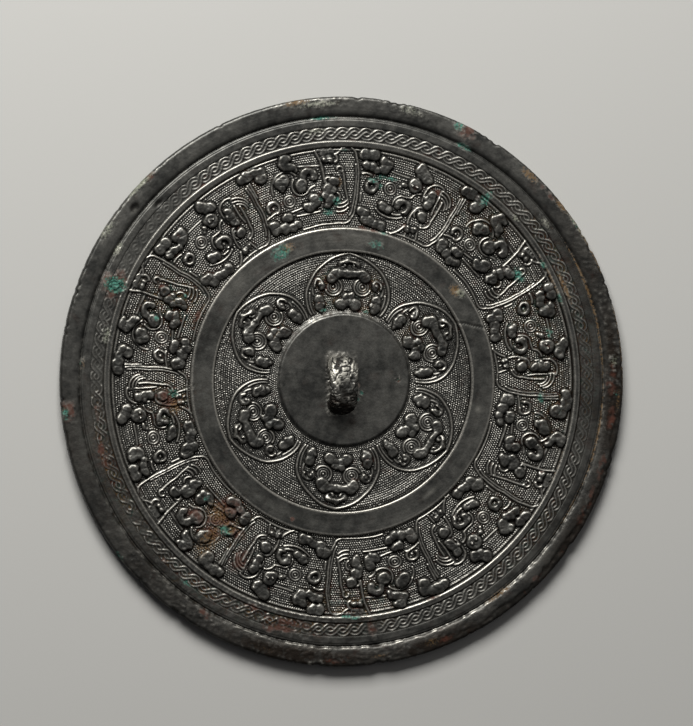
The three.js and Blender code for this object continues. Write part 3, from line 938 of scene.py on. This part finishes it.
castBody = {"columns": 1120, "spacing": 0.34, "longParts": 2, "middle": (0, 0), "wearAndShadeDepth": 0.25,
            "profile": [(0, levels["plate"]), (80.4, levels["plate"]), (80.42, 3.3), (80.6, 3.36),
                        (82.36, 3.36), (82.44, 3.35), (82.64, 3.24), (82.72, 3.23), (83.02, 3.23),
                        (83.1, 3.21), (83.34, 3.06), (83.42, 2.9), (83.56, 2.86), (83.7, 2.95), (83.95, 3.3),
                        (84.25, 3.62), (84.75, 3.82), (85.6, 3.93), (86.8, 3.97), (89.1, 3.93), (89.55, 3.8),
                        (89.8, 3.5), (89.95, 3), (89.95, 1.4), (89.7, 0.5), (88.6, 0), (0, 0)],
            "polished": 0.8, "rightTurn": 82, "rightHalf": 26, "belowTurn": 190, "pockDepth": 0.19,
            "flakedTurn": 128, "flakedHalf": 30, "flakedFrom": 87.6, "flakedDepth": 0.24,
            "lineAt": 83.9, "lineWidth": 0.4}


def rimDetail(radius, height, clockwise):
    # the outline is a little uneven and chipped; the rim's face is pitted, roughest on the right
    x, y = ringPlaces(radius, clockwise)
    edgeX, edgeY = ringPlaces(rimRadius, clockwise)
    onTop = (height > 1.6) * np.clip((radius - 80.5) / 0.4, 0, 1)
    outside = np.clip((radius - 88.3) / 1.5, 0, 1) * np.clip(height / 1.5, 0, 1)
    chips = np.clip(clouds(edgeX, edgeY, 1.3, 51) + 0.7 * clouds(edgeX, edgeY, 6, 52) - 0.45, 0, 1)
    uneven = 0.07 + 0.07 * clouds(edgeX, edgeY, 14, 53) + 0.05 * clouds(edgeX, edgeY, 0.8, 54)
    onRim = np.clip((radius - 84.2) / 0.5, 0, 1)
    skin = 0.02 * clouds(x, y, 1.1, 56) + 0.02 * clouds(x, y, 0.55, 57) * onRim
    crumbly = np.clip((radius - 88.2) / 1.2, 0, 1) * np.clip(clouds(edgeX, edgeY, 7, 59) + 0.35, 0, 1)
    rough = skin + coarse(x, y, clockwise) + innerLine(x, y, radius, clockwise)
    rough = rough + pockedSkin(x, y, radius, clockwise) + crumbly * 0.16 * clouds(x, y, 0.6, 60)
    rough = rough + flakedSkin(x, y, radius, clockwise)
    worn = radius - outside * (chips * 0.6 + uneven)
    return worn, height + onTop * (rough + weathered(x, y) - 0.3 * chips * outside)


def pockedSkin(x, y, radius, clockwise):
    right = np.clip(1.3 - awayFrom(castBody["rightTurn"], clockwise) / castBody["rightHalf"], 0, 1)
    below = np.clip(0.6 - np.maximum(awayFrom(castBody["belowTurn"], clockwise) - 30, 0) / 50, 0, 1)
    harsh = np.clip(right + below * (clouds(x, y, 9, 50) > -0.1), 0, 1)
    harsh = harsh * np.clip((radius - 84.8) / 0.8, 0, 1)
    pocks = np.clip(np.abs(clouds(x, y, 1.5, 55)) * 2, 0, 1) - 0.6 + 0.4 * clouds(x, y, 0.75, 49)
    return harsh * castBody["pockDepth"] * pocks


def flakedSkin(x, y, radius, clockwise):
    # outside an uneven line on the lower right the skin has flaked off
    edgeX, edgeY = ringPlaces(rimRadius, clockwise)
    terrace = castBody["flakedFrom"] + 0.9 * clouds(edgeX, edgeY, 6, 36)
    terrace = terrace + 0.5 * clouds(edgeX, edgeY, 1.6, 37)
    flaked = np.clip(1.4 - awayFrom(castBody["flakedTurn"], clockwise) / castBody["flakedHalf"], 0, 1)
    flaked = np.clip((radius - terrace) / 0.3, 0, 1) * flaked
    return flaked * (0.14 * clouds(x, y, 0.9, 38) - castBody["flakedDepth"])


def innerLine(x, y, radius, clockwise):
    # crumbs along the rim's inner edge, most of them at the lower side
    ridge = np.exp(-((radius - castBody["lineAt"]) / castBody["lineWidth"]) ** 2)
    ridge = ridge * (1 - 0.8 * np.cos(np.radians(clockwise)))
    return ridge * (0.04 + 0.16 * clouds(x, y, 0.9, 58) + 0.1 * clouds(x, y, 2.6, 48))


pieces.append(turnedPiece("castBody", castBody, rimDetail))
print("body and rim made")


# The cord knob: an arched loaf, open along X, its skin eaten into lumps and pits

cordKnob = {"columns": 168, "rows": 104, "halfLength": 9.3, "width": 9.3, "middle": (-0.7, -1.0),
            "holeHalf": 3.6, "holeTop": 5.2, "squareness": 0.72, "footDepth": 0.6}


def superEllipse(angle, halfWidth, halfHeight, power):
    c, s = np.cos(angle), np.sin(angle)
    return halfWidth * np.sign(c) * np.abs(c) ** power, halfHeight * np.sign(s) * np.abs(s) ** power


def knobSkin(x, y, z):
    # lumps left standing and worm-like hollows eaten between them
    up, slant = y + z, y + 0.6 * z
    lumps = 0.2 * clouds(x, up, 2.6, 81) + 0.13 * clouds(x, up, 1.2, 82) + 0.1 * clouds(x, up, 0.6, 85)
    worm = np.minimum(np.abs(clouds(x, slant, 1.6, 83)), 1.4 * np.abs(clouds(x, slant, 0.9, 86)))
    return lumps, 0.24 * np.clip(1 - worm / 0.13, 0, 1)


def knob(settings):
    piece, places = flatGrid("cordKnob", settings["columns"], settings["rows"])
    halfLength, power = settings["halfLength"], settings["squareness"]
    tall = knobTop - levels["ring"] - 0.5             # under the lumps
    along = np.pi * (places[:, 0] + 1) / 2            # 0 to pi over the arch
    around = np.pi * (places[:, 1] + 1)               # once round the loaf's section
    across, share = superEllipse(around, settings["width"] / 2, 1, power)
    share = (share + 1) / 2
    outerY, outerZ = superEllipse(along, halfLength, tall, power)
    innerY, innerZ = settings["holeHalf"] * np.cos(along), settings["holeTop"] * np.sin(along)
    y = innerY + (outerY - innerY) * share
    z = innerZ + (outerZ - innerZ) * share
    across = across * (1 - 0.1 * (z / tall) ** 3) * (1 - 0.26 * np.abs(y / halfLength) ** 5)
    across = across * (1 + 0.05 * y / halfLength)

    skin = np.clip(share * 3, 0, 1) * np.clip((z - 0.3) / 1.2, 0, 1)
    lumps, eaten = knobSkin(across + 0.3 * z, y, z)
    out = np.stack([across / 4.4 ** 2 * 2, y / halfLength ** 2 * 3, 0.25 + z / tall ** 2 * 4], axis=1)
    out /= np.linalg.norm(out, axis=1)[:, None]
    places = np.stack([across, y, z], axis=1) + out * (skin * (lumps - eaten))[:, None]
    inFoot = along * (np.pi - along) < 0.05
    middleX, middleY = settings["middle"]
    worldX, worldY = places[:, 0] + middleX, places[:, 1] + middleY
    worldZ = np.minimum(places[:, 2] + levels["ring"] - settings["footDepth"] * inFoot, knobTop)

    # the upper end, towards the lamp, is rubbed pale by the cord and hands and given a painted highlight;
    # the lower end gets painted shade
    bareAndHighlight = np.clip((places[:, 1] + 2 * clouds(across, worldY, 2.2, 84)) / 2.5, 0, 1)
    bareAndHighlight = bareAndHighlight * np.clip((worldZ - 5) / 3, 0, 1)
    # painted shade: darker towards the knob's lower end, away from the lamp
    umberAndShadeAmount = np.clip(-places[:, 1] / 4 - 0.2, 0, 1.2)
    # lumps are rubbed lighter, eaten hollows get dirt and painted shade
    paintMarks(piece.data, worldX, worldY, (lumps - 1.6 * eaten) / 0.22, {"bareAndHighlight": bareAndHighlight, "umberAndShade": umberAndShadeAmount})
    movePoints(piece, worldX, worldY, worldZ)
    startEditing(piece)
    bpy.ops.mesh.remove_doubles(threshold=0.02 * mm)
    selectOpenEdges()
    bpy.ops.mesh.edge_face_add()
    endEditing(sharpFrom=70)
    return piece


pieces.append(knob(cordKnob))
print("knob made")


# The finish

def linear(hexColour):
    values = [int(hexColour[i:i + 2], 16) / 255 for i in (1, 3, 5)]
    return tuple(v / 12.92 if v <= 0.04045 else ((v + 0.055) / 1.055) ** 2.4 for v in values) + (1,)


def addNode(tree, kind, settings=None, inputs=None):
    node = tree.nodes.new(kind)
    for key, value in (settings or {}).items():
        setattr(node, key, value)
    for key, value in (inputs or {}).items():
        if isinstance(value, bpy.types.NodeSocket):
            tree.links.new(value, node.inputs[key])
        else:
            node.inputs[key].default_value = value
    return node


def blend(tree, factor, under, over):
    return addNode(tree, "ShaderNodeMix", {"data_type": "RGBA"}, {0: factor, 6: under, 7: over}).outputs[2]


def ramp(tree, value, low, high, toLow=0.0, toHigh=1.0):
    inputs = {0: value, 1: low, 2: high, 3: toLow, 4: toHigh}
    return addNode(tree, "ShaderNodeMapRange", inputs=inputs).outputs[0]


def combine(tree, operation, first, second):
    return addNode(tree, "ShaderNodeMath", {"operation": operation}, {0: first, 1: second}).outputs[0]


def times(tree, first, second):
    return combine(tree, "MULTIPLY", first, second)


def plus(tree, first, second):
    return combine(tree, "ADD", first, second)


def larger(tree, first, second):
    return combine(tree, "MAXIMUM", first, second)


def noise(tree, vector, scale, detail=4.0, roughness=0.55):
    inputs = {"Vector": vector, "Scale": scale, "Detail": detail, "Roughness": roughness}
    return addNode(tree, "ShaderNodeTexNoise", inputs=inputs).outputs["Fac"]


def painted(tree, name):
    # a colour painted on the points: red, green and blue apart, and alpha
    outputs = addNode(tree, "ShaderNodeAttribute", {"attribute_name": name}).outputs
    red, green, blue = addNode(tree, "ShaderNodeSeparateColor", inputs={0: outputs["Color"]}).outputs
    return red, green, blue, outputs["Alpha"]


def patch(tree, amount, grainy):
    # a painted amount broken up at its edges by noise
    return ramp(tree, times(tree, amount, ramp(tree, grainy, 0.32, 0.68, 0.1, 1.7)), 0.3, 0.75)


patina = {"dark": "#2b2b29", "light": "#494844", "worn": "#827f77", "bareAndHighlight": "#8f8c82", "hollowDirtAndShade": "#161513",
          "malachite": "#2d5b4e", "malachiteDeep": "#0f2b25", "cuprite": "#2f160c", "ochre": "#45331a",
          "crust": "#55574a", "umberAndShade": "#1b1713", "specular": 0.12, "metallic": 0.9, "dryRoughness": 0.78,
          "bumpDepth": 0.00012}
colours = {name: linear(value) for name, value in patina.items() if isinstance(value, str)}


def patinatedBronze():
    # cast bronze under a dark grey-black skin: satin, lighter where rubbed, black in the hollows with dirt
    # and painted shade, with dull dry spots of green carbonate, red-brown oxide, ochre earth and a pale
    # grey-green crust
    material = bpy.data.materials.new("patinatedBronze")
    material.use_nodes = True
    tree = material.node_tree
    shader = tree.nodes["Principled BSDF"]
    coords = addNode(tree, "ShaderNodeTexCoord").outputs["Object"]
    inMillimetres = {"Vector": coords, "Scale": (1 / mm, 1 / mm, 1 / mm)}
    place = addNode(tree, "ShaderNodeMapping", inputs=inMillimetres).outputs[0]
    wearAndShade = addNode(tree, "ShaderNodeAttribute", {"attribute_name": "wearAndShade"}).outputs["Fac"]
    malachite, cuprite, ochre, crust = painted(tree, "crusts")
    umberAndShadeAmount, _, bareAndHighlight, earthSeep = painted(tree, "stainsShadeAndHighlight")

    broad = noise(tree, place, 0.06, 5.0)
    middling = noise(tree, place, 0.35, 5.0, 0.62)
    fine = noise(tree, place, 1.5, 4.0, 0.6)

    # the skin of the metal: mottled, rubbed on the ridges, dark in the hollows with dirt and painted shade
    mottled = ramp(tree, plus(tree, broad, middling), 0.8, 1.2)
    skin = blend(tree, mottled, colours["dark"], colours["light"])
    rubbed = times(tree, ramp(tree, wearAndShade, 0.1, 0.9), ramp(tree, fine, 0.35, 0.65, 0.45, 0.85))
    skin = blend(tree, rubbed, skin, colours["worn"])
    # painted shade, together with dirt, in the hollows
    skin = blend(tree, times(tree, ramp(tree, wearAndShade, -0.1, -0.8), 0.8), skin, colours["hollowDirtAndShade"])
    # pale bare metal: the polished face, rubbed spots, and a painted highlight at the knob's upper end
    skin = blend(tree, times(tree, bareAndHighlight, ramp(tree, wearAndShade, -0.5, 0.4)), skin, colours["bareAndHighlight"])

    # dirt: brown umber, which at the knob's lower end is painted shade, earth that seeped into the hollows,
    # and small red specks
    umberAndShade = times(tree, umberAndShadeAmount, ramp(tree, middling, 0.3, 0.55, 0.25, 0.9))
    umberAndShade = times(tree, umberAndShade, ramp(tree, wearAndShade, 0.3, 1.0, 1.0, 0.35))
    skin = blend(tree, umberAndShade, skin, colours["umberAndShade"])
    seep = times(tree, earthSeep, ramp(tree, wearAndShade, 0.15, -0.35))
    earth = blend(tree, ramp(tree, middling, 0.42, 0.6), colours["ochre"], colours["malachiteDeep"])
    earth = blend(tree, ramp(tree, noise(tree, place, 0.5, 3.0), 0.48, 0.6), earth, colours["cuprite"])
    skin = blend(tree, times(tree, seep, ramp(tree, fine, 0.35, 0.6, 0.2, 0.85)), skin, earth)
    specks = ramp(tree, noise(tree, place, 0.22, 3.0), 0.6, 0.72)
    specks = times(tree, specks, ramp(tree, wearAndShade, 0.2, -0.5, 0.0, 0.5))
    skin = blend(tree, specks, skin, colours["cuprite"])

    # corrosion products, each broken up at its edges
    red = patch(tree, cuprite, middling)
    yellow = patch(tree, ochre, fine)
    pale = patch(tree, crust, fine)
    green = patch(tree, malachite, noise(tree, place, 0.9, 5.0, 0.75))
    greens = blend(tree, ramp(tree, fine, 0.4, 0.62), colours["malachiteDeep"], colours["malachite"])
    skin = blend(tree, times(tree, red, 0.8), skin, colours["cuprite"])
    skin = blend(tree, times(tree, yellow, 0.75), skin, colours["ochre"])
    skin = blend(tree, times(tree, pale, 0.7), skin, colours["crust"])
    skin = blend(tree, times(tree, green, 0.85), skin, greens)
    tree.links.new(skin, shader.inputs["Base Color"])

    dry = larger(tree, larger(tree, red, yellow), larger(tree, pale, green))
    dry = larger(tree, dry, times(tree, umberAndShade, 0.2))
    shader.inputs["Specular IOR Level"].default_value = patina["specular"]
    tree.links.new(ramp(tree, dry, 0, 1, patina["metallic"], 0.1), shader.inputs["Metallic"])
    satin = plus(tree, ramp(tree, fine, 0.3, 0.7, 0.37, 0.47), ramp(tree, wearAndShade, -0.6, 0.6, 0.1, -0.04))
    satin = plus(tree, satin, times(tree, bareAndHighlight, 0.1))
    rough = addNode(tree, "ShaderNodeMix", inputs={0: dry, 2: satin, 3: patina["dryRoughness"]}).outputs[0]
    tree.links.new(rough, shader.inputs["Roughness"])

    height = plus(tree, times(tree, middling, 0.6), times(tree, fine, 0.4))
    dirty = ramp(tree, larger(tree, umberAndShadeAmount, earthSeep), 0, 1, 0, 1.2)
    height = plus(tree, height, times(tree, dirty, noise(tree, place, 1.1, 3.0, 0.7)))
    skinRelief = {"Height": height, "Strength": 0.7, "Distance": patina["bumpDepth"]}
    bump = addNode(tree, "ShaderNodeBump", inputs=skinRelief)
    tree.links.new(bump.outputs[0], shader.inputs["Normal"])
    return material


bronze = patinatedBronze()
for piece in pieces:
    print(piece.name, len(piece.data.polygons) * 2)
    piece.data.materials.clear()
    piece.data.materials.append(bronze)
    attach(piece, "root")
    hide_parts("mirror")
print("bronze laid on")


# Floor, light and camera

def paleFloor():
    deselectAll()
    bpy.ops.mesh.primitive_plane_add(size=6, location=(0, 0, cadLow.z))
    floor = bpy.context.object
    floor.name = "floor"
    material = bpy.data.materials.new("paleFloor")
    material.use_nodes = True
    shader = material.node_tree.nodes["Principled BSDF"]
    shader.inputs["Base Color"].default_value = linear("#7c7b77")
    shader.inputs["Roughness"].default_value = 0.9
    floor.data.materials.append(material)


def areaLight(name, clockwise, elevation, distance, wide, tall, watts):
    # a soft box aimed at the middle of the mirror
    a, e = math.radians(clockwise), math.radians(elevation)
    place = Vector((math.sin(a) * math.cos(e), math.cos(a) * math.cos(e), math.sin(e))) * distance
    towardsMirror = (-place).to_track_quat("-Z", "Y").to_euler()
    bpy.ops.object.light_add(type="AREA", location=place, rotation=towardsMirror)
    lamp = bpy.context.object
    lamp.name = name
    lamp.data.shape = "RECTANGLE"
    lamp.data.size = wide
    lamp.data.size_y = tall
    lamp.data.energy = watts


lights = {"key": (346, 38, 1.0, 0.66, 0.42, 36.5), "fill": (50, 60, 1.6, 1.4, 1.4, 3)}


def softLight():
    for name, values in lights.items():
        areaLight(name, *values)
    world = bpy.data.worlds.new("studio")
    world.use_nodes = True
    world.node_tree.nodes["Background"].inputs["Color"].default_value = linear("#8c8c90")
    world.node_tree.nodes["Background"].inputs["Strength"].default_value = 0.35
    bpy.context.scene.world = world
    bpy.context.scene.view_settings.view_transform = "Standard"


view = {"left": 9.3, "up": 1.3, "distance": 3.0, "across": 0.2184, "aimX": 1.1, "aimY": 5.95}


def camera():
    # far off with a long lens, a little to the left of straight above and a little above the middle
    left, up = math.radians(view["left"]), math.radians(view["up"])
    back = Vector((-math.sin(left) * math.cos(up), math.sin(up), math.cos(left) * math.cos(up)))
    aim = Vector((view["aimX"] * mm, view["aimY"] * mm, levels["ring"] * mm))
    bpy.ops.object.camera_add(location=aim + back * view["distance"])
    eyePoint = bpy.context.object
    eyePoint.data.sensor_fit = "HORIZONTAL"
    eyePoint.data.lens = eyePoint.data.sensor_width * view["distance"] / view["across"]
    eyePoint.data.clip_end = 10
    right = Vector((0, 1, 0)).cross(back).normalized()
    upward = back.cross(right)
    eyePoint.rotation_euler = Matrix((right, upward, back)).transposed().to_euler()
    bpy.context.scene.camera = eyePoint


paleFloor()
softLight()
camera()
print("light and camera set")
